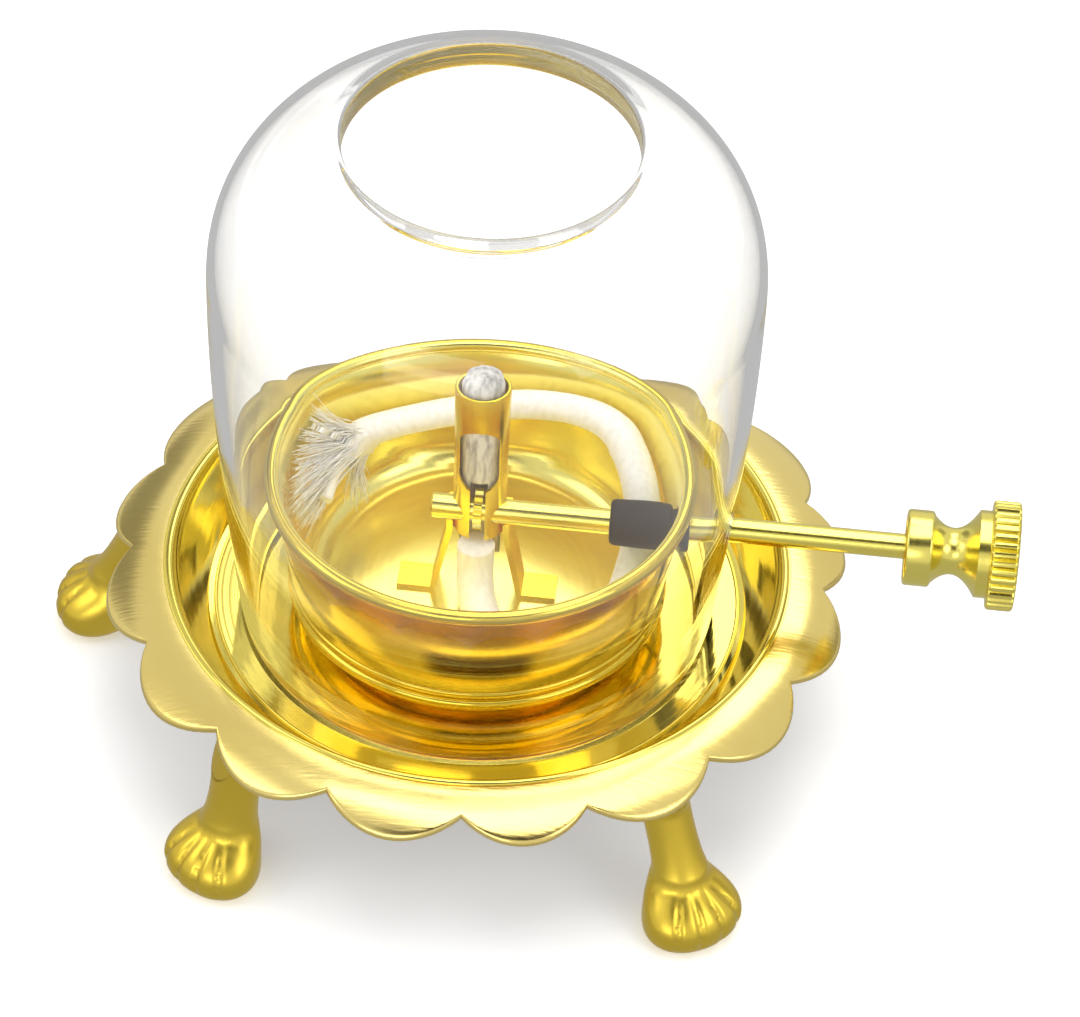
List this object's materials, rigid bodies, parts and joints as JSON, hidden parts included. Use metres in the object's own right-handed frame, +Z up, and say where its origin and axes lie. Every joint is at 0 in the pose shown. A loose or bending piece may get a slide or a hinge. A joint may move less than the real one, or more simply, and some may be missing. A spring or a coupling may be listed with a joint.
{
  "type": "akhand diya oil lamp",
  "caption": "Brass oil lamp with a wick winder and a lift-off glass chimney, standing in a scalloped dish on cast paw feet.",
  "frame": {"origin": "on the lamp's vertical axis, at the level of the floor that the feet stand on", "axes": "+Z up, +X along the winder's shaft towards its knob, +Y to the back of the pictured side"},
  "size_m": [0.1631, 0.1321, 0.1181],
  "materials": {
    "polished_brass": "polished",
    "cast_brass": "satin",
    "turned_brass": "turned and polished",
    "bush_rubber": "matte",
    "wick_cotton": "soft twisted cotton",
    "clear_glass": "clear, smooth"
  },
  "bodies": {
    "lamp": {"base_plate": "polished_brass", "foot_left": "cast_brass", "foot_front_left": "cast_brass", "foot_front_right": "cast_brass", "foot_back_right": "cast_brass", "foot_back": "cast_brass", "oil_bowl": "polished_brass", "bowl_washer": "turned_brass", "bowl_nut": "turned_brass", "wick_tube": "polished_brass", "tube_stand": "polished_brass", "shaft_bush": "bush_rubber", "wick_tail": "wick_cotton"},
    "winder": {"winder_shaft": "turned_brass", "spur_wheel": "turned_brass", "winder_knob": "turned_brass"},
    "wick": {"wick": "wick_cotton"},
    "chimney": {"glass_chimney": "clear_glass"}
  },
  "joints": [
    {"name": "winder_turn", "type": "hinge", "parent": "lamp", "child": "winder", "pos_m": [0, -0.0017, 0.0404], "axis": [1, 0, 0], "range_deg": [-50, 140]},
    {"name": "wick_lift", "type": "slide", "parent": "lamp", "child": "wick", "axis": [0, 0, 1], "range_m": [-0.003, 0.008]},
    {"name": "chimney_lift", "type": "slide", "parent": "lamp", "child": "chimney", "axis": [0, 0, 1], "range_m": [0, 0.09]}
  ],
  "couplings": [
    {"joint": "wick_lift", "follows": "winder_turn", "m_per_rad": 0.0032}
  ]
}
